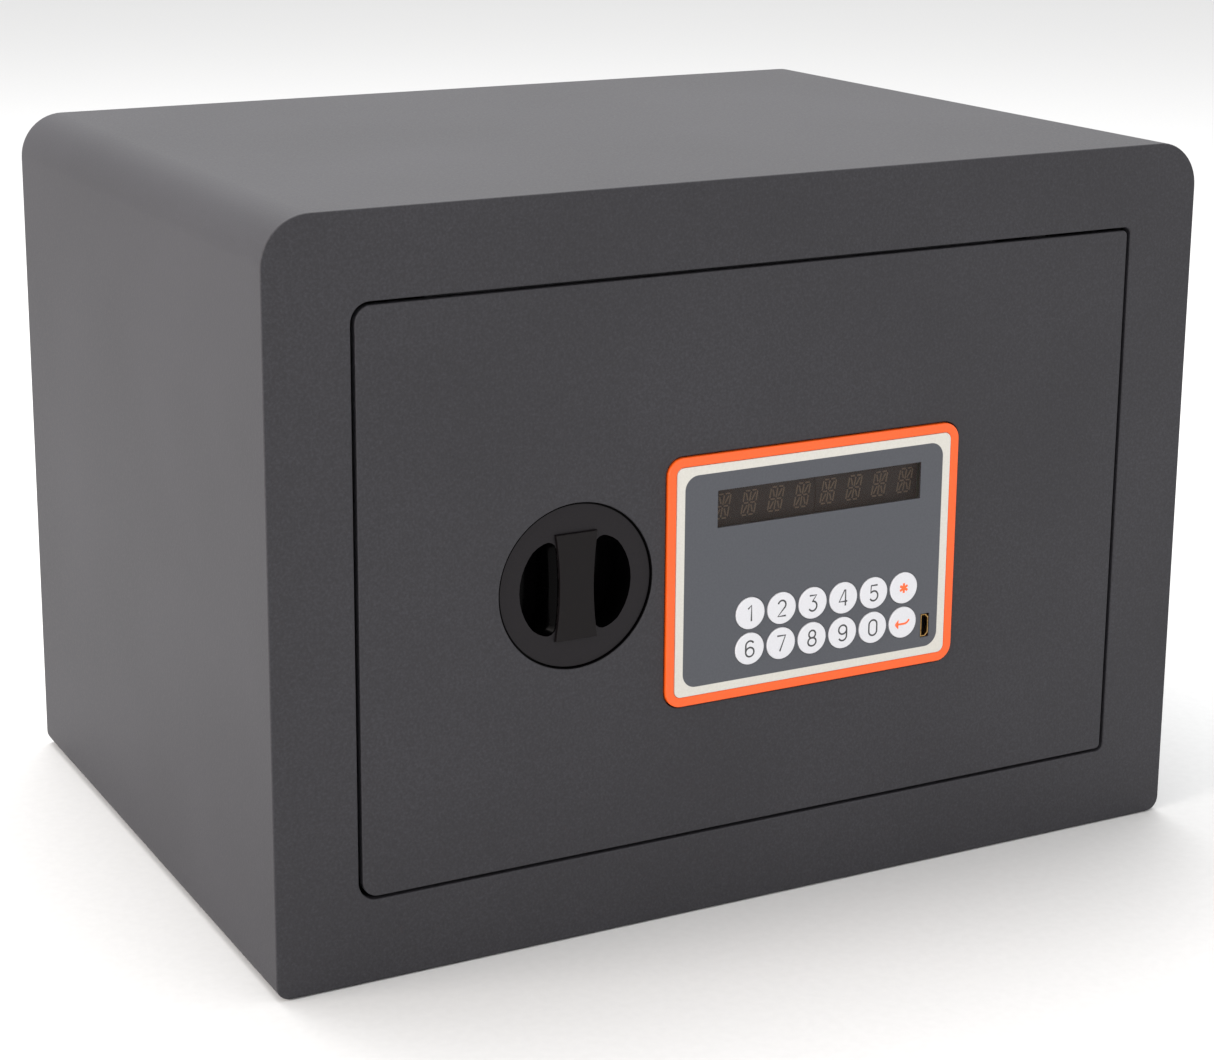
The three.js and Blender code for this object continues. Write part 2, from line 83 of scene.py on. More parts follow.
def rod(name, radius, low, high, sides=64):
    """A round bar between two points on a line along one axis."""
    along = high - low
    turn = along.to_track_quat("Z", "Y").to_euler()
    bpy.ops.mesh.primitive_cylinder_add(
        vertices=sides, radius=radius, depth=along.length, location=(low + high) / 2, rotation=turn
    )
    piece = bpy.context.object
    piece.name = name
    bpy.ops.object.transform_apply(location=True, rotation=True, scale=True)
    return piece


def make_active(piece):
    bpy.ops.object.select_all(action="DESELECT")
    piece.select_set(True)
    bpy.context.view_layer.objects.active = piece


def round_edges(piece, radius, segments, chosen):
    """Bevels the edges that chosen(middle, direction) is true for."""
    make_active(piece)
    bpy.ops.object.mode_set(mode="EDIT")
    bpy.ops.mesh.select_mode(type="EDGE")
    bpy.ops.mesh.select_all(action="DESELECT")
    cage = bmesh.from_edit_mesh(piece.data)
    for edge in cage.edges:
        a, b = (v.co for v in edge.verts)
        if chosen((a + b) / 2, (b - a).normalized()):
            edge.select_set(True)
    bmesh.update_edit_mesh(piece.data)
    bpy.ops.mesh.bevel(offset=radius, segments=segments, affect="EDGES", clamp_overlap=False)
    bpy.ops.object.mode_set(mode="OBJECT")


def apply_change(piece, kind, **settings):
    """Adds a modifier, sets it and applies it."""
    make_active(piece)
    change = piece.modifiers.new(kind.lower(), kind)
    for name, value in settings.items():
        setattr(change, name, value)
    bpy.ops.object.modifier_apply(modifier=change.name)


def cut_away(piece, *cutters):
    for cutter in cutters:
        apply_change(piece, "BOOLEAN", operation="DIFFERENCE", solver="EXACT", object=cutter)
        bpy.data.objects.remove(cutter)


def smooth(piece):
    """Smooths the round stretches and keeps the flat faces flat."""
    make_active(piece)
    bpy.ops.object.shade_smooth_by_angle(angle=math.radians(50))
    apply_change(piece, "WEIGHTED_NORMAL", weight=80, keep_sharp=True)


def ease(piece, width, segments=2):
    """Breaks the sharp edges, then smooths the piece."""
    apply_change(
        piece, "BEVEL", width=width, segments=segments, limit_method="ANGLE",
        angle_limit=math.radians(30), use_clamp_overlap=True, miter_outer="MITER_ARC",
    )
    smooth(piece)


def rounded_plate(name, low, high, left_r, right_r=None):
    """A plate facing the front. Its left and right corners may differ in radius."""
    plate = block(name, low, high)
    middle = (low.x + high.x) / 2
    right_r = left_r if right_r is None else right_r
    round_edges(plate, left_r, 8, lambda mid, way: abs(way.y) > 0.9 and mid.x < middle)
    round_edges(plate, right_r, 8, lambda mid, way: abs(way.y) > 0.9 and mid.x > middle)
    return plate


def linear(hex_colour):
    """An sRGB hex colour as linear RGBA."""
    parts = [int(hex_colour[i:i + 2], 16) / 255 for i in (1, 3, 5)]
    return [p / 12.92 if p <= 0.04045 else ((p + 0.055) / 1.055) ** 2.4 for p in parts] + [1.0]


def add_node(tree, kind, settings=None, links=None):
    """Adds a node. Settings name a property or an input, and links name an input and its source."""
    node = tree.nodes.new(kind)
    for name, value in (settings or {}).items():
        if isinstance(name, str) and name.startswith("."):
            setattr(node, name[1:], value)
        else:
            node.inputs[name].default_value = value
    for name, (source, output) in (links or {}).items():
        tree.links.new(source.outputs[output], node.inputs[name])
    return node


def new_material(name):
    material = bpy.data.materials.new(name)
    material.use_nodes = True
    tree = material.node_tree
    tree.nodes.clear()
    shader = add_node(tree, "ShaderNodeBsdfPrincipled")
    add_node(tree, "ShaderNodeOutputMaterial", links={"Surface": (shader, "BSDF")})
    return material, tree, shader


def colour_ramp(tree, factor, stops):
    """Blends between hex colours at places from 0 to 1."""
    ramp = add_node(tree, "ShaderNodeValToRGB", links={"Fac": factor})
    ramp.color_ramp.elements[0].position = stops[0][0]
    ramp.color_ramp.elements[0].color = linear(stops[0][1])
    ramp.color_ramp.elements[1].position = stops[-1][0]
    ramp.color_ramp.elements[1].color = linear(stops[-1][1])
    for place, colour in stops[1:-1]:
        ramp.color_ramp.elements.new(place).color = linear(colour)
    return ramp


def noise(tree, vector, size_mm, **settings):
    """A noise pattern whose marks are about this size."""
    return add_node(tree, "ShaderNodeTexNoise", {"Scale": 1 / (size_mm * MM), **settings}, {"Vector": vector})


def raise_skin(tree, shader, height, strength, depth_mm):
    """Gives the surface a fine relief."""
    skin = add_node(
        tree, "ShaderNodeBump", {"Strength": strength, "Distance": depth_mm * MM}, {"Height": height}
    )
    tree.links.new(skin.outputs["Normal"], shader.inputs["Normal"])


def powder_coat(name, dark, mid, light):
    """Anthracite powder coat, sprayed and baked: a fine even orange peel with a faint fleck, matt
    enough to spread every highlight. The grain is drawn a little coarser than the real 0.5 mm."""
    material, tree, shader = new_material(name)
    place = add_node(tree, "ShaderNodeTexCoord")
    grain = noise(tree, (place, "Object"), 0.9, Detail=3.0, Roughness=0.65)
    cloud = noise(tree, (place, "Object"), 90, Detail=2.0)
    both = add_node(tree, "ShaderNodeMix", {"Factor": 0.22}, {"A": (grain, "Fac"), "B": (cloud, "Fac")})
    paint = colour_ramp(tree, (both, "Result"), [(0.3, dark), (0.5, mid), (0.72, light)])
    gloss = add_node(
        tree, "ShaderNodeMapRange", {"From Min": 0.3, "From Max": 0.7, "To Min": 0.5, "To Max": 0.64},
        {"Value": (grain, "Fac")},
    )
    tree.links.new(paint.outputs["Color"], shader.inputs["Base Color"])
    tree.links.new(gloss.outputs["Result"], shader.inputs["Roughness"])
    raise_skin(tree, shader, (grain, "Fac"), 0.6, 0.1)
    shader.inputs["IOR"].default_value = 1.5
    shader.inputs["Specular IOR Level"].default_value = 0.35
    return material


def fit(piece, body, slot, material, *nodes):
    """Gives a finished piece its finish and its body, and hides the CAD nodes it stands for."""
    if material is not None:
        piece.data.materials.clear()
        piece.data.materials.append(material)
    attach(piece, body)
    if nodes:
        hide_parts(*nodes)


anthracite = powder_coat("anthracite_powder_coat_baked", "#252428", "#2e2d31", "#3b3a3f")


def folded_block(name, low, high, inset):
    """A block with the body's outline: wide bends above and tight bends at the base."""
    piece = block(name, low, high)
    half = (low.z + high.z) / 2
    round_edges(piece, (BEND_R - inset) * MM, 14, lambda mid, way: abs(way.y) > 0.9 and mid.z > half)
    round_edges(piece, (FOOT_R - inset) * MM, 8, lambda mid, way: abs(way.y) > 0.9 and mid.z < half)
    return piece


def make_body():
    shell = folded_block("welded_body", body_low, body_high, 0)
    room_low = body_low + Vector((SHEET, PLATE, SHEET)) * MM
    room_high = body_high + Vector((-SHEET, SHEET, -SHEET)) * MM
    room = folded_block("room", room_low, room_high, SHEET)
    mouth = rounded_plate(
        "mouth", at(OPENING["left"], -5, OPENING["bottom"]), at(OPENING["right"], 10, OPENING["top"]),
        OPENING["lock_r"] * MM, OPENING["hinge_r"] * MM,
    )
    anchors = [
        rod("anchor", ANCHOR_R * MM, Vector((x, ANCHOR_Y, -5)) * MM, Vector((x, ANCHOR_Y, 8)) * MM, 48)
        for x in ANCHOR_X
    ]
    cut_away(shell, room, mouth, *anchors)
    ease(shell, 0.55 * MM)
    fit(shell, "root", "painted_steel", anthracite, "body_wrap", "front_frame")


make_body()

# ---- Back plate ----
# A flat sheet set into the rear of the wrap, seam welded all round and painted with it. It has two
# anchor holes.

ANCHOR_Z = 125.0


def make_back():
    low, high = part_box("back_plate")
    plate = folded_block("rear_panel", low, high, SHEET + 0.3)
    anchors = [
        rod("anchor", ANCHOR_R * MM, Vector((x * MM, low.y - 5 * MM, ANCHOR_Z * MM)),
            Vector((x * MM, high.y + 5 * MM, ANCHOR_Z * MM)), 48)
        for x in ANCHOR_X
    ]
    cut_away(plate, *anchors)
    ease(plate, 0.3 * MM)
    fit(plate, "root", "painted_steel", anthracite, "back_plate")


make_back()

# ---- Door leaf ----
# A flat laser-cut plate, powder coated. The knob turns in a round hole, the lock panel comes
# through a rounded cut-out, and four welded posts on the back carry the cover.

door_low, door_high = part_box("door_plate")
DOOR_LOCK_R = 5.5
DOOR_HINGE_R = 1.8
KNOB_X, KNOB_Z = -69.4, 121.8
KNOB_HOLE = 27.8
POST_R = 4.0
POST_END = 35.6
bezel_low, bezel_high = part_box("panel_bezel")


def middle(node):
    """The middle of a CAD node's box."""
    low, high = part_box(node)
    return (low + high) / 2


def join(piece, parts):
    """Joins the parts into the piece."""
    make_active(piece)
    for part in parts:
        part.select_set(True)
    bpy.ops.object.join()


def make_door():
    leaf_high = Vector((door_high.x, front_y + PLATE * MM, door_high.z))
    leaf = rounded_plate("door_leaf", door_low, leaf_high, DOOR_LOCK_R * MM, DOOR_HINGE_R * MM)
    knob_hole = rod("knob_hole", KNOB_HOLE * MM, at(KNOB_X, -5, KNOB_Z), at(KNOB_X, 10, KNOB_Z), 128)
    room = Vector((0.35, 0, 0.35)) * MM
    cutout = rounded_plate(
        "cutout", Vector((bezel_low.x, front_y - 0.01, bezel_low.z)) - room,
        Vector((bezel_high.x, front_y + 0.01, bezel_high.z)) + room, 6.15 * MM,
    )
    cut_away(leaf, knob_hole, cutout)
    ease(leaf, 0.4 * MM)
    posts = []
    for index in range(1, 5):
        spot = middle(f"cover_screw_{index}") / MM
        posts.append(rod("post", POST_R * MM, at(spot.x, 3.5, spot.z), at(spot.x, POST_END, spot.z), 32))
    join(leaf, posts)
    fit(leaf, "door", "painted_steel", anthracite, "door_plate")


make_door()

# ---- Knob ----
# A flush turning knob, moulded in black nylon. Two finger pockets are scooped either side of a
# waisted grip bar, and a separate insert snaps into the bar over the fixing screw.

POCKET_R = 20.2
POCKET_TIP = 15.7
POCKET_DEPTH = 13.0
KNOB_FACE = 1.0
INSERT_WAIST, INSERT_FLARE, INSERT_RISE = 6.1, 1.4, 17.8
INSERT_FACE = -0.15
INSERT_SEAT = 1.7
INSERT_GAP = 0.12
BAR_SLOPE, OUTER_SLOPE = 1.9, 0.7
TIP_BLEND = 2.6
SHADE_SLEEVE_OUT, SHADE_SLEEVE_IN = 27.72, 27.42


def moulded_black(name, colour, roughness, shine):
    """Black nylon straight from the mould, with a very fine spark-eroded skin."""
    material, tree, shader = new_material(name)
    place = add_node(tree, "ShaderNodeTexCoord")
    skin = noise(tree, (place, "Object"), 0.35, Detail=2.0)
    tone = colour_ramp(tree, (skin, "Fac"), [(0.3, colour[0]), (0.7, colour[1])])
    gloss = add_node(tree, "ShaderNodeMapRange", {"To Min": roughness - 0.05, "To Max": roughness + 0.06},
                     {"Value": (skin, "Fac")})
    tree.links.new(tone.outputs["Color"], shader.inputs["Base Color"])
    tree.links.new(gloss.outputs["Result"], shader.inputs["Roughness"])
    raise_skin(tree, shader, (skin, "Fac"), 0.15, 0.02)
    shader.inputs["IOR"].default_value = 1.53
    shader.inputs["Specular IOR Level"].default_value = shine
    return material


# The grip is satin where fingers touch it. The pockets are glossy, and their near-black colour with a very
# low specular level is painted shade for the hollows. The socket tongue uses the same material as plain black
# nylon.
knob_satin = moulded_black("black_nylon_satin_moulded", ("#161316", "#1c191c"), 0.42, 0.18)
near_black_gloss_and_pocket_shade = moulded_black("black_nylon_gloss_and_painted_pocket_shade", ("#020202", "#040304"), 0.12, 0.03)
insert_satin = moulded_black("black_nylon_insert", ("#100d0e", "#151213"), 0.38, 0.13)


def bar_half(z):
    """Half width of the waisted insert at a height above its middle."""
    return INSERT_WAIST + INSERT_FLARE * (z / INSERT_RISE) ** 2


def pocket_ring(side, depth, inner, outer, tip, blend):
    """A closed ring at one depth: up the bar side, round the tip, and down the outer side. The two
    sides draw together over the last few millimetres, so that both tips are round."""
    steps = 16
    heights = [tip * math.sin(math.pi * (i / steps - 0.5)) for i in range(steps + 1)]
    middle_x = (inner(tip) + outer(tip)) / 2
    ring = []
    for reach, order in ((inner, heights), (outer, heights[-2:0:-1])):
        for z in order:
            into = max(0, (abs(z) - tip + blend) / blend)
            share = math.sqrt(max(0, 1 - into ** 2))
            ring.append((middle_x + (reach(z) - middle_x) * share, z))
    return [at(KNOB_X + side * x, depth, KNOB_Z + side * z) for x, z in ring]


def loft(name, rings):
    """A solid through closed rings, drawn out from a filled circle one ring at a time."""
    bpy.ops.mesh.primitive_circle_add(vertices=len(rings[0]), fill_type="NGON")
    piece = bpy.context.object
    piece.name = name
    for vertex, point in zip(piece.data.vertices, rings[0]):
        vertex.co = point
    bpy.ops.object.mode_set(mode="EDIT")
    for last, ring in zip(rings, rings[1:]):
        bpy.ops.mesh.extrude_region_move()
        cage = bmesh.from_edit_mesh(piece.data)
        for vertex in [v for v in cage.verts if v.select]:
            nearest = min(range(len(ring)), key=lambda k: (last[k] - vertex.co).length)
            vertex.co = ring[nearest]
        bmesh.update_edit_mesh(piece.data)
    bpy.ops.mesh.select_all(action="SELECT")
    bpy.ops.mesh.normals_make_consistent(inside=False)
    bpy.ops.object.mode_set(mode="OBJECT")
    return piece


def pocket_cutter(side):
    """A pocket whose sides slope in below the rim, most on the bar side, and then drop upright."""

    def rim_inner(z):
        return bar_half(z) + INSERT_GAP

    def rim_outer(z):
        return math.sqrt(POCKET_R ** 2 - z ** 2)

    def throat_inner(z):
        return rim_inner(z) + BAR_SLOPE

    def throat_outer(z):
        return rim_outer(z) - OUTER_SLOPE

    return loft("pocket", [
        pocket_ring(side, KNOB_FACE - 3, rim_inner, rim_outer, POCKET_TIP, TIP_BLEND),
        pocket_ring(side, KNOB_FACE + 0.7, rim_inner, rim_outer, POCKET_TIP, TIP_BLEND),
        pocket_ring(side, KNOB_FACE + 3.0, throat_inner, throat_outer, 15.2, TIP_BLEND),
        pocket_ring(side, POCKET_DEPTH, throat_inner, throat_outer, 15.0, TIP_BLEND),
    ])


def insert_block(name, grow, depth0, depth1):
    """The waisted outline of the insert, between two depths."""
    rise = INSERT_RISE + grow
    steps = 12
    outline = []
    for side in (1, -1):
        for i in range(steps + 1):
            z = side * (-rise + 2 * rise * i / steps)
            outline.append((side * (bar_half(z) + grow), z))
    return loft(name, [[at(KNOB_X + x, depth, KNOB_Z + z) for x, z in outline] for depth in (depth0, depth1)])


def make_knob():
    low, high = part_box("knob_body")
    radius = (high.x - low.x) / 2
    back = Vector((KNOB_X * MM, high.y, KNOB_Z * MM))
    grip = rod("knob_grip", radius, at(KNOB_X, KNOB_FACE, KNOB_Z), back, 128)
    cutters = [pocket_cutter(side) for side in (-1, 1)]
    cut_away(grip, *cutters, insert_block("seat", INSERT_GAP, KNOB_FACE - 1, INSERT_SEAT + INSERT_GAP))
    ease(grip, 0.3 * MM, 3)
    grip.data.materials.append(knob_satin)
    grip.data.materials.append(near_black_gloss_and_pocket_shade)
    # Faces inside the pockets take the near-black material: painted shade in the hollows.
    for face in grip.data.polygons:
        x = face.center.x / MM - KNOB_X
        z = face.center.z / MM - KNOB_Z
        below = face.center.y > front_y + (KNOB_FACE + 0.05) * MM
        if below and math.hypot(x, z) < POCKET_R + 0.3:
            face.material_index = 1
    fit(grip, "knob", "black_plastic", None, "knob_body")

    insert = insert_block("knob_insert", 0, INSERT_FACE, INSERT_SEAT)
    ease(insert, 0.25 * MM, 3)
    fit(insert, "knob", "black_plastic", insert_satin, "knob_cap")

    # A thin near-black sleeve inside the knob hole paints the gap round the knob dark: painted shade, not a
    # part of the safe.
    shade_sleeve = rod("knob_hole_painted_shade", SHADE_SLEEVE_OUT * MM, at(KNOB_X, 0.3, KNOB_Z), at(KNOB_X, PLATE, KNOB_Z), 128)
    cut_away(shade_sleeve, rod("bore", SHADE_SLEEVE_IN * MM, at(KNOB_X, -1, KNOB_Z), at(KNOB_X, 6, KNOB_Z), 128))
    ease(shade_sleeve, 0.05 * MM, 1)
    fit(shade_sleeve, "door", "black_plastic", near_black_gloss_and_pocket_shade)


make_knob()

# ---- Panel bezel ----
# A thin frame injection moulded in orange ABS. It comes through the door cut-out and stands just
# proud of it, with soft outer edges and a recess for the printed film.

film_low, film_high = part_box("panel_overlay")
panel_x = (bezel_low.x + bezel_high.x) / 2 / MM
panel_z = (bezel_low.z + bezel_high.z) / 2 / MM


def moulded_plastic(name, colours, roughness, grain_mm=0.6, bump=0.12):
    """Injection-moulded ABS: an even body colour under a fine texture that softens the gloss."""
    material, tree, shader = new_material(name)
    place = add_node(tree, "ShaderNodeTexCoord")
    skin = noise(tree, (place, "Object"), grain_mm, Detail=2.0)
    tone = colour_ramp(tree, (skin, "Fac"), [(0.25, colours[0]), (0.75, colours[1])])
    tree.links.new(tone.outputs["Color"], shader.inputs["Base Color"])
    raise_skin(tree, shader, (skin, "Fac"), bump, 0.02)
    shader.inputs["Roughness"].default_value = roughness
    shader.inputs["IOR"].default_value = 1.53
    return material


def make_bezel():
    bezel = rounded_plate("bezel_ring", bezel_low, bezel_high, 5.8 * MM)
    room = Vector((0.12, 0, 0.12)) * MM
    recess = rounded_plate("recess", film_low - room - Vector((0, 0.01, 0)), film_high + room, 2.6 * MM)
    step = Vector((4.5, 0, 4.5)) * MM
    through = rounded_plate(
        "through", film_low + step - Vector((0, 0.02, 0)), film_high - step + Vector((0, 0.02, 0)), 2 * MM
    )
    cut_away(bezel, recess, through)
    ease(bezel, 0.4 * MM, 3)
    # Orange ABS: one saturated colour right through, satin from the textured mould.
    orange = moulded_plastic("orange_abs_moulded", ("#f6590f", "#fb6217"), 0.42)
    fit(bezel, "door", "orange_plastic", orange, "panel_bezel")


make_bezel()

# ---- Printed film ----
# A polyester film, screen printed from behind: a pale warm rim round a dark grey field. It is cut
# out for the display, the service socket and the twelve keys.

KEY_NAMES = ("1", "2", "3", "4", "5", "star", "6", "7", "8", "9", "0", "enter")
FIELD_HALF_W, FIELD_HALF_H, FIELD_R = 50.65, 36.35, 5.0
KEY_HOLE_R = 5.68
window_low, window_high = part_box("display_window")
port_low, port_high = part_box("usb_socket")


def printed_film():
    """Screen-printed polyester: flat even inks under a fine matt skin with a soft sheen."""
    material, tree, shader = new_material("polyester_film_screen_printed")
    place = add_node(tree, "ShaderNodeTexCoord")
    centre = add_node(
        tree, "ShaderNodeMapping", {"Location": (-panel_x * MM, 0, -panel_z * MM), "Scale": (1, 0, 1)},
        {"Vector": (place, "Object")},
    )
    folded = add_node(tree, "ShaderNodeVectorMath", {".operation": "ABSOLUTE"}, {0: (centre, "Vector")})
    inner = ((FIELD_HALF_W - FIELD_R) * MM, 0, (FIELD_HALF_H - FIELD_R) * MM)
    beyond = add_node(
        tree, "ShaderNodeVectorMath", {".operation": "SUBTRACT", 1: inner}, {0: (folded, "Vector")}
    )
    corner = add_node(
        tree, "ShaderNodeVectorMath", {".operation": "MAXIMUM", 1: (0, 0, 0)}, {0: (beyond, "Vector")}
    )
    reach = add_node(tree, "ShaderNodeVectorMath", {".operation": "LENGTH"}, {0: (corner, "Vector")})
    mask = add_node(
        tree, "ShaderNodeMapRange", {"From Min": (FIELD_R - 0.05) * MM, "From Max": (FIELD_R + 0.05) * MM},
        {"Value": (reach, "Value")},
    )
    skin = noise(tree, (place, "Object"), 0.7, Detail=2.0)
    field = colour_ramp(tree, (skin, "Fac"), [(0.3, "#494b51"), (0.7, "#4e5056")])
    rim = colour_ramp(tree, (skin, "Fac"), [(0.3, "#cfccc3"), (0.7, "#d6d3cb")])
    inks = add_node(tree, "ShaderNodeMix", {".data_type": "RGBA"}, {"Factor": (mask, "Result")})
    tree.links.new(field.outputs["Color"], inks.inputs[6])
    tree.links.new(rim.outputs["Color"], inks.inputs[7])
    tree.links.new(inks.outputs[2], shader.inputs["Base Color"])
    raise_skin(tree, shader, (skin, "Fac"), 0.1, 0.02)
    shader.inputs["Roughness"].default_value = 0.45
    shader.inputs["IOR"].default_value = 1.57
    shader.inputs["Specular IOR Level"].default_value = 0.35
    return material


def make_film():
    film = rounded_plate("keypad_film", film_low, film_high, 2.5 * MM)
    through = Vector((0, 0.01, 0))
    room = Vector((0.1, 0, 0.1)) * MM
    holes = [block("window_hole", window_low - through - room, window_high + through + room)]
    port_room = Vector((0.25, 0, 0.25)) * MM
    holes.append(block("port_hole", port_low - through - port_room, port_high + port_room))
    for name in KEY_NAMES:
        spot = middle(f"key_{name}")
        holes.append(rod("key_hole", KEY_HOLE_R * MM, spot - through, spot + through, 64))
    cut_away(film, *holes)
    ease(film, 0.1 * MM, 1)
    fit(film, "door", "printed_film", printed_film(), "panel_overlay")


make_film()

# ---- Display ----
# Two four-character modules of sixteen-segment characters, potted in dark resin, stand behind a
# window of brown tinted acrylic. They meet in the middle of the window. The segments are unlit.

CHARACTER_PITCH = 10.3
CHARACTER_W, CHARACTER_H = 5.0, 8.2
CHARACTER_Z = 140.6
SLANT = math.tan(math.radians(10))


def strokes_to_mesh(name, strokes, width, face_depth, centre_x, centre_z):
    """Ink strokes: each is a line of points in mm, drawn with a round pen and pressed flat."""
    line = bpy.data.curves.new(name, "CURVE")
    line.dimensions = "3D"
    line.bevel_depth = width / 2 * MM
    line.bevel_resolution = 2
    line.use_fill_caps = True
    for stroke in strokes:
        spline = line.splines.new("POLY")
        spline.points.add(len(stroke) - 1)
        for point, (x, z) in zip(spline.points, stroke):
            point.co = (x * MM, 0, z * MM, 1)
    drawn = bpy.data.objects.new(name, line)
    bpy.context.scene.collection.objects.link(drawn)
    make_active(drawn)
    bpy.ops.object.convert(target="MESH")
    drawn = bpy.context.object
    place = at(centre_x, face_depth, centre_z)
    for vertex in drawn.data.vertices:
        vertex.co = Vector((vertex.co.x, vertex.co.y * 0.08, vertex.co.z)) + place
    return drawn


def sixteen_segments():
    """The strokes of one character and its decimal point, upright, about its middle."""
    w, h, gap = CHARACTER_W / 2, CHARACTER_H / 2, 0.42
    bars = []
    for z in (-h, 0, h):
        bars.append([(-w + gap, z), (-gap, z)])
        bars.append([(gap, z), (w - gap, z)])
    for x in (-w, 0, w):
        bars.append([(x, gap), (x, h - gap)])
        bars.append([(x, -h + gap), (x, -gap)])
    for sx in (-1, 1):
        for sz in (-1, 1):
            bars.append([(sx * 0.75, sz * 0.8), (sx * (w - 0.7), sz * (h - 0.8))])
    bars.append([(w + 1.25, -h), (w + 1.3, -h)])
    return [[(x + SLANT * z, z) for x, z in bar] for bar in bars]


def make_display():
    # Potting resin, cast dark brown round the segments, which are a milky tan when unlit.
    resin = moulded_plastic("display_resin_potted", ("#2c231f", "#302722"), 0.45, 3, 0.02)
    milky = moulded_plastic("display_segment_unlit", ("#8f7a64", "#9a846c"), 0.5, 2, 0.02)
    for side, node in ((-1, "display_module_left"), (1, "display_module_right")):
        low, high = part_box(node)
        module = block(node.replace("display", "segment"), low, high)
        ease(module, 0.25 * MM)
        face_depth = (low.y - front_y) / MM
        seam_x = (window_low.x + window_high.x) / 2 / MM
        parts = []
        for k in range(4):
            x = seam_x + side * (k + 0.5) * CHARACTER_PITCH
            parts.append(
                strokes_to_mesh("bars", sixteen_segments(), 0.55, face_depth - 0.02, x, CHARACTER_Z)
            )
        module.data.materials.append(resin)
        module.data.materials.append(milky)
        for part in parts:
            part.data.materials.clear()
            part.data.materials.append(milky)
        join(module, parts)
        fit(module, "door", "display_resin", None, node)

    room = Vector((0.1, 0, 0.1)) * MM
    glass = block("window_lens", window_low - room, window_high + room)
    ease(glass, 0.15 * MM)
    # Tinted acrylic, cut from polished sheet: clear enough to show the unlit segments, and glossy.
    tint, tree, shader = new_material("brown_acrylic_tinted")
    place = add_node(tree, "ShaderNodeTexCoord")
    haze = noise(tree, (place, "Object"), 12)
    brown = colour_ramp(tree, (haze, "Fac"), [(0.3, "#2a211d"), (0.7, "#302621")])
    tree.links.new(brown.outputs["Color"], shader.inputs["Base Color"])
    shader.inputs["Roughness"].default_value = 0.12
    shader.inputs["IOR"].default_value = 1.49
    shader.inputs["Specular IOR Level"].default_value = 0.35
    shader.inputs["Alpha"].default_value = 0.32
    fit(glass, "door", "tinted_window", tint, "display_window")


make_display()

# ---- Keys ----
# Twelve round flat caps moulded in white ABS, with eased edges and a thin printed sign on each.
# Ten carry digits. The star and the return arrow are printed in orange.

KEY_R = 5.55
STAR_R = 1.75
SIGN_WIDTH = {"star": 1.0, "enter": 0.85}
DIGIT_WIDTH = 0.72


def arc(cx, cz, rx, rz, start, end, steps=14):
    """Points on an ellipse between two angles in degrees."""
    turn = [math.radians(start + (end - start) * i / steps) for i in range(steps + 1)]
    return [(cx + rx * math.cos(a), cz + rz * math.sin(a)) for a in turn]


def hooked_loop():
    """The nine: a round bowl, and a stem that runs down its right side into a hook."""
    return [
        arc(0, 1.15, 1.6, 1.6, 0, 360, 22),
        [(1.6, 1.15)] + arc(0, -1.15, 1.6, 1.6, 0, -150, 12),
    ]


SIGNS = {
    "1": [[(-1.0, 1.6), (0.35, 2.75), (0.35, -2.75)]],
    "2": [arc(0, 1.2, 1.5, 1.55, 165, -35) + [(-1.55, -2.75), (1.6, -2.75)]],
    "3": [[(-1.35, 2.75), (1.35, 2.75), (-0.2, 0.65)] + arc(-0.05, -1.05, 1.6, 1.7, 95, -150)],
    "4": [[(0.75, -2.75), (0.75, 2.75), (0.35, 2.75), (-1.75, -1.2), (1.5, -1.2)]],
    "5": [[(1.4, 2.75), (-1.1, 2.75), (-1.3, 0.25)] + arc(-0.05, -1.0, 1.65, 1.75, 132, -150)],
    "6": [[(-x, -z) for x, z in stroke] for stroke in hooked_loop()],
    "7": [[(-1.6, 2.75), (1.65, 2.75), (-0.5, -2.75)]],
    "8": [arc(0, 1.4, 1.3, 1.35, 0, 360, 22), arc(0, -1.3, 1.6, 1.45, 0, 360, 22)],
    "9": hooked_loop(),
    "0": [arc(0, 1.15, 1.6, 1.6, 0, 180) + arc(0, -1.15, 1.6, 1.6, 180, 360) + [(1.6, 1.15)]],
    "star": [
        [(end * math.sin(math.radians(a)), end * math.cos(math.radians(a))) for end in (-STAR_R, STAR_R)]
        for a in (0, 60, 120)
    ],
    "enter": [
        [(-1.7, -0.5), (0.4, -0.5)] + arc(0.5, 1.6, 2.2, 2.1, -80, -20, 8),
        [(-2.9, -0.5), (-1.8, 0.95), (-1.8, -1.95), (-2.9, -0.5)],
        [(-2.3, -0.5), (-1.95, 0.2), (-1.95, -1.2), (-2.3, -0.5)],
    ],
}


def make_keys():
    # White ABS, moulded with a satin skin. The inks are screen printed and lie flat on it.
    white = moulded_plastic("white_abs_keycap", ("#d6d6da", "#dddde1"), 0.42, 0.5, 0.06)
    ink = moulded_plastic("grey_ink_printed", ("#303032", "#3a3a3c"), 0.5, 0.3)
    orange_ink = moulded_plastic("orange_ink_printed", ("#fb6426", "#ff6e31"), 0.5, 0.3)
    for name in KEY_NAMES:
        low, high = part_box(f"key_{name}")
        spot = (low + high) / 2
        face = low.y + 0.035 * MM
        cap = rod(f"key_cap_{name}", KEY_R * MM, Vector((spot.x, face, spot.z)),
                  Vector((spot.x, low.y + 2.4 * MM, spot.z)), 64)
        round_edges(cap, 0.3 * MM, 3, lambda mid, way: mid.y < low.y + 0.1 * MM)
        smooth(cap)
        cap.data.materials.append(white)
        colour = orange_ink if name in SIGN_WIDTH else ink
        cap.data.materials.append(colour)
        width = SIGN_WIDTH.get(name, DIGIT_WIDTH)
        depth = (face - front_y) / MM + 0.01
        sign = strokes_to_mesh("sign", SIGNS[name], width, depth, spot.x / MM, spot.z / MM)
        sign.data.materials.clear()
        sign.data.materials.append(colour)
        join(cap, [sign])
        fit(cap, f"key_{name}_body", "key_white", None, f"key_{name}")


make_keys()

# ---- Service socket ----
# A stamped brass shell round a black tongue, soldered to the board behind the film. A
# service lead plugs into it.


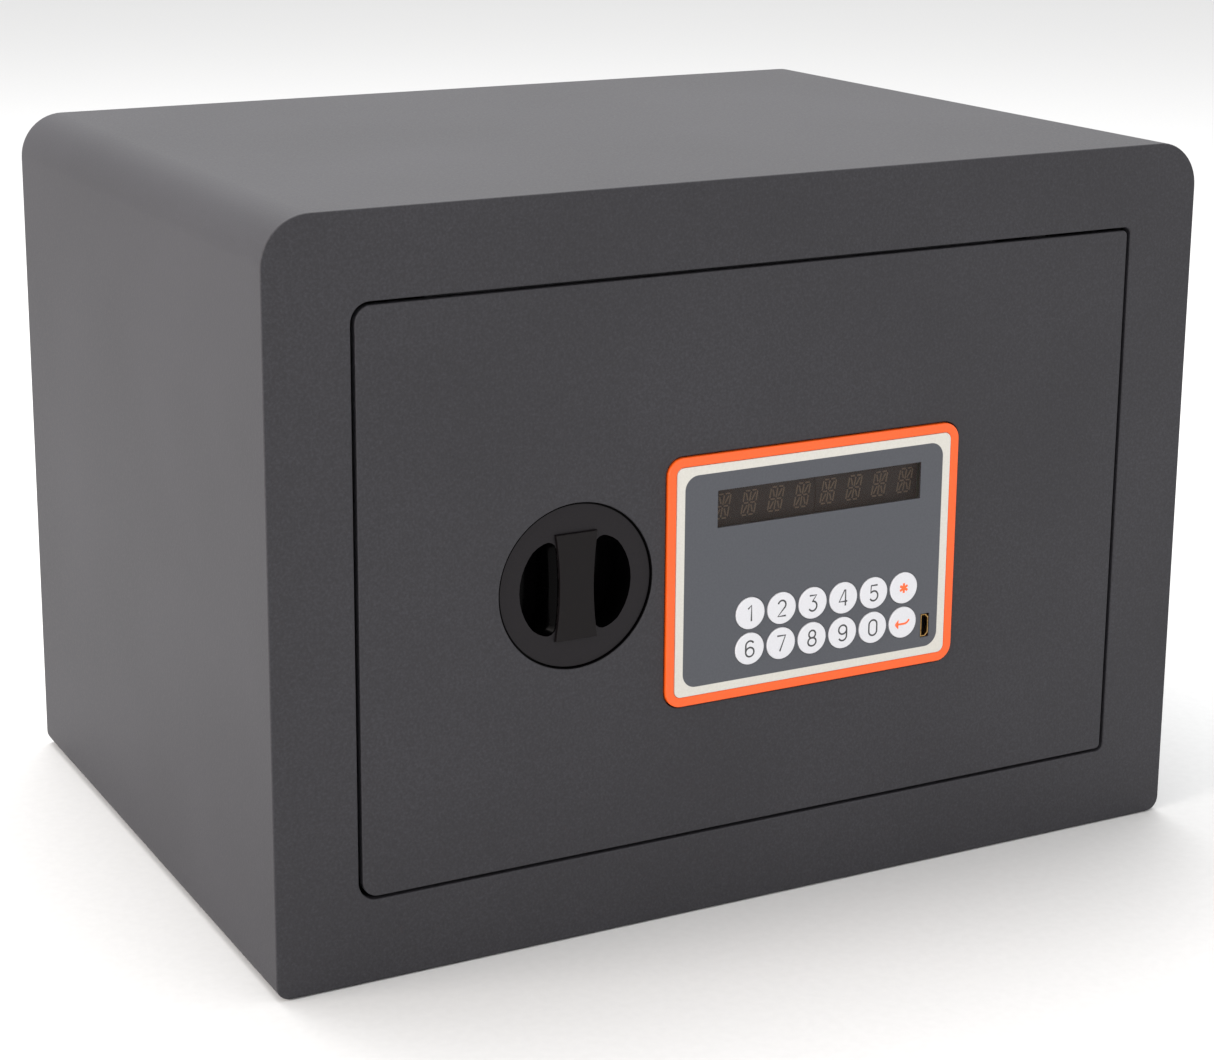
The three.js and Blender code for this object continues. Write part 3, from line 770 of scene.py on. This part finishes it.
def socket_outline(name, inset, depth0, depth1):
    """The slot stands on end: its left side is full height and its right corners are cut away."""
    left, right = port_low.x / MM + inset, port_high.x / MM - inset
    low_z, high_z = port_low.z / MM + inset, port_high.z / MM - inset
    slant = 1.1
    outline = [(left, low_z), (right - slant, low_z), (right, low_z + slant), (right, high_z - slant),
               (right - slant, high_z), (left, high_z)]
    return loft(name, [[at(x, depth, z) for x, z in outline] for depth in (depth0, depth1)])


def make_socket():
    front = (port_low.y - front_y) / MM
    shell = socket_outline("service_socket", 0, front, (port_high.y - front_y) / MM)
    cut_away(shell, socket_outline("hole", 0.35, front - 5, 6))
    ease(shell, 0.08 * MM, 1)
    # Brass, stamped from strip: bare yellow metal, rubbed brighter in places.
    brass, tree, shader = new_material("brass_stamped")
    place = add_node(tree, "ShaderNodeTexCoord")
    rub = noise(tree, (place, "Object"), 0.8, Detail=3.0)
    tone = colour_ramp(tree, (rub, "Fac"), [(0.3, "#8c6c3c"), (0.7, "#c9a468")])
    tree.links.new(tone.outputs["Color"], shader.inputs["Base Color"])
    shader.inputs["Metallic"].default_value = 1.0
    shader.inputs["Roughness"].default_value = 0.32
    fit(shell, "door", "brass", brass, "usb_socket")
    middle_x = (port_low.x + port_high.x) / 2
    tongue = block(
        "socket_tongue", Vector((middle_x - 0.35 * MM, port_low.y + 0.9 * MM, port_low.z + 1.2 * MM)),
        Vector((middle_x + 0.35 * MM, front_y + 5.8 * MM, port_high.z - 1.2 * MM)),
    )
    ease(tongue, 0.1 * MM, 1)
    fit(tongue, "door", "black_plastic", near_black_gloss_and_pocket_shade)


make_socket()

# ---- Inner cover ----
# A tray folded from thin sheet over the lock work, powder coated and held by four screws. Its
# window takes the battery lid.

cover_low, cover_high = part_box("door_inner_cover")
lid_low, lid_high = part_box("battery_lid")
COVER_SHEET = 1.2


def make_cover():
    tray = block("lock_cover", cover_low, cover_high)
    far = cover_high.y - 0.1 * MM
    low_z, high_z = cover_low.z, cover_high.z
    round_edges(tray, 2.2 * MM, 5, lambda mid, way: mid.y > far and mid.x > cover_low.x + 1 * MM)
    wall = COVER_SHEET * MM
    hollow = block(
        "hollow", cover_low - Vector((0.01, 0.01, -wall)), cover_high - Vector((wall, wall, wall))
    )
    round_edges(hollow, 1.0 * MM, 4, lambda mid, way: mid.y > cover_high.y - wall - 0.1 * MM)
    room = Vector((0.3, 0, 0.3)) * MM
    window = block("window", Vector((lid_low.x, cover_high.y - 0.01, lid_low.z)) - room,
                   Vector((lid_high.x, cover_high.y + 0.01, lid_high.z)) + room)
    cut_away(tray, hollow, window)
    for index in range(1, 5):
        spot = middle(f"cover_screw_{index}")
        reach = Vector((0, 0.03, 0))
        cut_away(tray, rod("screw_hole", 2.5 * MM, spot - reach, spot + reach, 32))
    ease(tray, 0.2 * MM, 2)
    fit(tray, "door", "painted_steel", anthracite, "door_inner_cover")


make_cover()

# ---- Battery lid ----
# A moulded lid that snaps into the cover over the batteries. It has ribs for a thumb at its right
# end, as seen from the front.


def make_lid():
    panel = block("battery_cover", lid_low, Vector((lid_high.x, lid_low.y + 2.0 * MM, lid_high.z)))
    round_edges(panel, 1.5 * MM, 4, lambda mid, way: abs(way.y) > 0.9)
    ease(panel, 0.35 * MM)
    ribs = []
    for step in range(5):
        x = lid_high.x - (7 + 3 * step) * MM
        z = (lid_low.z + lid_high.z) / 2
        rib = block("rib", Vector((x - 0.6 * MM, lid_low.y + 1 * MM, z - 9 * MM)),
                    Vector((x + 0.6 * MM, lid_high.y, z + 9 * MM)))
        ease(rib, 0.3 * MM)
        ribs.append(rib)
    join(panel, ribs)
    # Charcoal ABS: a dull grey under a coarser texture that hides finger marks.
    charcoal = moulded_plastic("charcoal_abs_moulded", ("#3b3c40", "#43444a"), 0.5, 0.8, 0.2)
    fit(panel, "battery_lid", "grey_plastic", charcoal, "battery_lid")


make_lid()

# ---- Bolts ----
# Two round bolts turned from bright steel bar and zinc plated, with chamfered noses. They stand on
# the sliding carriage.


def zinc_plate(name, light, dark, lay_mm, stretch=(1, 1, 1)):
    """Bright zinc plating over cold-rolled or turned steel: a cool sheen with a soft, broken lay."""
    material, tree, shader = new_material(name)
    place = add_node(tree, "ShaderNodeTexCoord")
    along = add_node(tree, "ShaderNodeMapping", {"Scale": stretch}, {"Vector": (place, "Object")})
    lay = noise(tree, (along, "Vector"), lay_mm, Detail=4.0)
    bloom = noise(tree, (place, "Object"), 14, Detail=3.0)
    tone = colour_ramp(tree, (bloom, "Fac"), [(0.3, dark), (0.7, light)])
    gloss = add_node(tree, "ShaderNodeMapRange", {"To Min": 0.24, "To Max": 0.46}, {"Value": (lay, "Fac")})
    tree.links.new(tone.outputs["Color"], shader.inputs["Base Color"])
    tree.links.new(gloss.outputs["Result"], shader.inputs["Roughness"])
    raise_skin(tree, shader, (lay, "Fac"), 0.2, 0.02)
    shader.inputs["Metallic"].default_value = 1.0
    return material


turned_zinc = zinc_plate("zinc_plated_turned_bar", "#c9ccd0", "#b4b7bb", 0.35, (6, 1, 1))
sheet_zinc = zinc_plate("zinc_plated_sheet", "#c2c4c4", "#a9abad", 0.6)


def make_bolts():
    for name in ("bolt_upper", "bolt_lower"):
        low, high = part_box(name)
        spot = (low + high) / 2
        radius = (high.z - low.z) / 2
        bar = rod(name.replace("bolt", "round_bolt"), radius, Vector((low.x, spot.y, spot.z)),
                  Vector((high.x, spot.y, spot.z)), 96)
        nose = low.x + 0.1 * MM
        round_edges(bar, 1.2 * MM, 2, lambda mid, way: mid.x < nose)
        ease(bar, 0.15 * MM)
        fit(bar, "bolts", "zinc_steel", turned_zinc, name)


make_bolts()

# ---- Floor mat ----
# A mat of needled felt laid on the floor of the safe. It has round cut-outs over the anchor holes
# and rounded corners.


def needled_felt():
    """Needled felt: short tangled grey fibres that give a soft mottled nap."""
    material, tree, shader = new_material("grey_needled_felt")
    place = add_node(tree, "ShaderNodeTexCoord")
    fibre = noise(tree, (place, "Object"), 1.2, Detail=6.0, Roughness=0.7, Distortion=1.5)
    nap = add_node(tree, "ShaderNodeTexVoronoi", {"Scale": 1 / (2.5 * MM)}, {"Vector": (place, "Object")})
    tone = colour_ramp(tree, (fibre, "Fac"), [(0.3, "#2c2c30"), (0.5, "#3b3b40"), (0.72, "#55555b")])
    height = add_node(
        tree, "ShaderNodeMath", {".operation": "ADD"}, {0: (fibre, "Fac"), 1: (nap, "Distance")}
    )
    tree.links.new(tone.outputs["Color"], shader.inputs["Base Color"])
    raise_skin(tree, shader, (height, "Value"), 0.7, 0.5)
    shader.inputs["Roughness"].default_value = 0.95
    shader.inputs["Sheen Weight"].default_value = 0.3
    return material


def make_mat():
    low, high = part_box("floor_mat")
    mat = block("felt_mat", low, high)
    round_edges(mat, 6 * MM, 5, lambda mid, way: abs(way.z) > 0.9)
    for x in ANCHOR_X:
        spot = Vector((x * MM, ANCHOR_Y * MM, low.z))
        reach = Vector((0, 0, 0.01))
        cut_away(mat, rod("cut_out", 10 * MM, spot - reach, spot + reach, 48))
    ease(mat, 0.5 * MM)
    fit(mat, "root", "felt", needled_felt(), "floor_mat")


make_mat()

# ---- Carried-over hardware ----
# The hinge lugs, pins, bushes, stops, guide, screws and lock work are as the frame has them. Each
# takes the finish that the real piece has.


def finish_frame_parts():
    # Turned acetal, moulded ABS, lacquered board and printed battery sleeves: each an even colour
    # with its own gloss.
    acetal = moulded_plastic("black_acetal_turned", ("#1a1a1b", "#232324"), 0.45, 0.8)
    charcoal = moulded_plastic("charcoal_abs_shell", ("#3a3b3f", "#434448"), 0.55, 0.8)
    black = moulded_plastic("black_abs_tray", ("#1d1c1e", "#262427"), 0.45, 0.8)
    board = moulded_plastic("solder_mask_green", ("#255a38", "#2f6b45"), 0.35, 3.0)
    sleeve = moulded_plastic("battery_sleeve_printed", ("#8f9296", "#a9acb0"), 0.35, 4.0)
    finishes = {
        "painted_steel": anthracite, "zinc_steel": sheet_zinc, "nylon": acetal, "grey_plastic": charcoal,
        "black_plastic": black, "circuit_board": board, "battery_can": sleeve,
    }
    slots = {part["node"]: part["material_slot"] for part in frame["record"]["subparts"]}
    for name, node in frame["nodes"].items():
        material = finishes.get(slots[name])
        if material is not None and not node.hide_render:
            node.data.materials.clear()
            node.data.materials.append(material)


finish_frame_parts()

# ---- Studio ----
# A pale floor in a white room, a broad softbox overhead and a warmer one at the left. The camera
# stands a little above the safe, to its left.


def make_studio():
    bpy.ops.mesh.primitive_plane_add(size=12, location=(0, 0, -0.0003))
    floor = bpy.context.object
    floor.name = "studio_floor"
    paper, tree, shader = new_material("pale_studio_paper")
    place = add_node(tree, "ShaderNodeTexCoord")
    fibre = add_node(tree, "ShaderNodeTexNoise", {"Scale": 300.0}, {"Vector": (place, "Object")})
    tone = colour_ramp(tree, (fibre, "Fac"), [(0.3, "#cfcfcf"), (0.7, "#d2d2d2")])
    tree.links.new(tone.outputs["Color"], shader.inputs["Base Color"])
    shader.inputs["Roughness"].default_value = 0.9
    floor.data.materials.append(paper)

    world = bpy.data.worlds.new("studio")
    bpy.context.scene.world = world
    world.use_nodes = True
    world.node_tree.nodes["Background"].inputs["Color"].default_value = (1, 1, 1, 1)
    world.node_tree.nodes["Background"].inputs["Strength"].default_value = 1.15

    def softbox(name, place, aim, size, power, colour=(1, 1, 1)):
        light = bpy.data.lights.new(name, "AREA")
        light.shape = "RECTANGLE"
        light.size, light.size_y = size
        light.energy = power
        light.color = colour
        lamp = bpy.data.objects.new(name, light)
        bpy.context.scene.collection.objects.link(lamp)
        lamp.location = place
        lamp.rotation_euler = (Vector(aim) - Vector(place)).to_track_quat("-Z", "Y").to_euler()

    softbox("softbox_top", (0.1, 0.6, 1.9), (0, 0, 0.2), (1.8, 1.4), 38)
    softbox("softbox_left", (-1.9, -0.1, 0.8), (0, 0, 0.12), (1.2, 1.2), 38, (1.0, 0.93, 0.88))

    camera = bpy.data.cameras.new("camera")
    view = bpy.data.objects.new("camera", camera)
    bpy.context.scene.collection.objects.link(view)
    view.location = (-0.4423, -0.8321, 0.3803)
    turn, tilt = math.radians(26.47), math.radians(13.49)
    aim = Vector((math.sin(turn) * math.cos(tilt), math.cos(turn) * math.cos(tilt), -math.sin(tilt)))
    view.rotation_euler = aim.to_track_quat("-Z", "Y").to_euler()
    camera.sensor_width = 36
    camera.lens = 77.5
    camera.shift_x = 0.0719
    camera.shift_y = -0.12
    bpy.context.scene.camera = view
    bpy.context.scene.view_settings.view_transform = "Standard"


make_studio()
